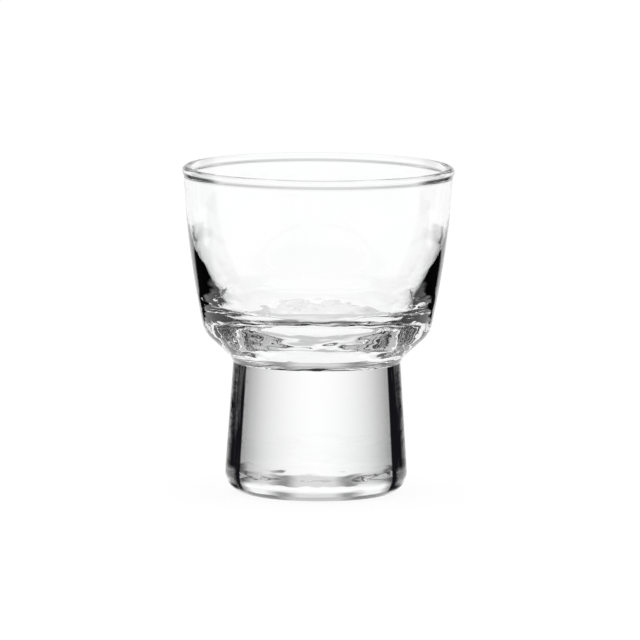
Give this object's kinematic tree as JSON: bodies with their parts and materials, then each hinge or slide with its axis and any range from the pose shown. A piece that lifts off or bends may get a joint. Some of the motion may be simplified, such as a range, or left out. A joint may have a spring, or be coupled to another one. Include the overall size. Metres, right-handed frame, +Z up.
{
  "type": "sake cup",
  "caption": "Clear glass sake cup: a thin-walled bowl with a rounded rim on a solid, slightly flared round foot, for a small measure of sake.",
  "frame": {"origin": "centre of the base, on the surface that the cup stands on", "axes": "+Z up along the axis that the cup is turned about, from the foot to the rim; +X and +Y are level, and -Y faces the viewer"},
  "size_m": [0.058, 0.058, 0.07],
  "materials": {
    "clear_glass": "clear, fire-polished"
  },
  "bodies": {
    "root": {"bowl": "clear_glass", "foot": "clear_glass"}
  },
  "joints": []
}
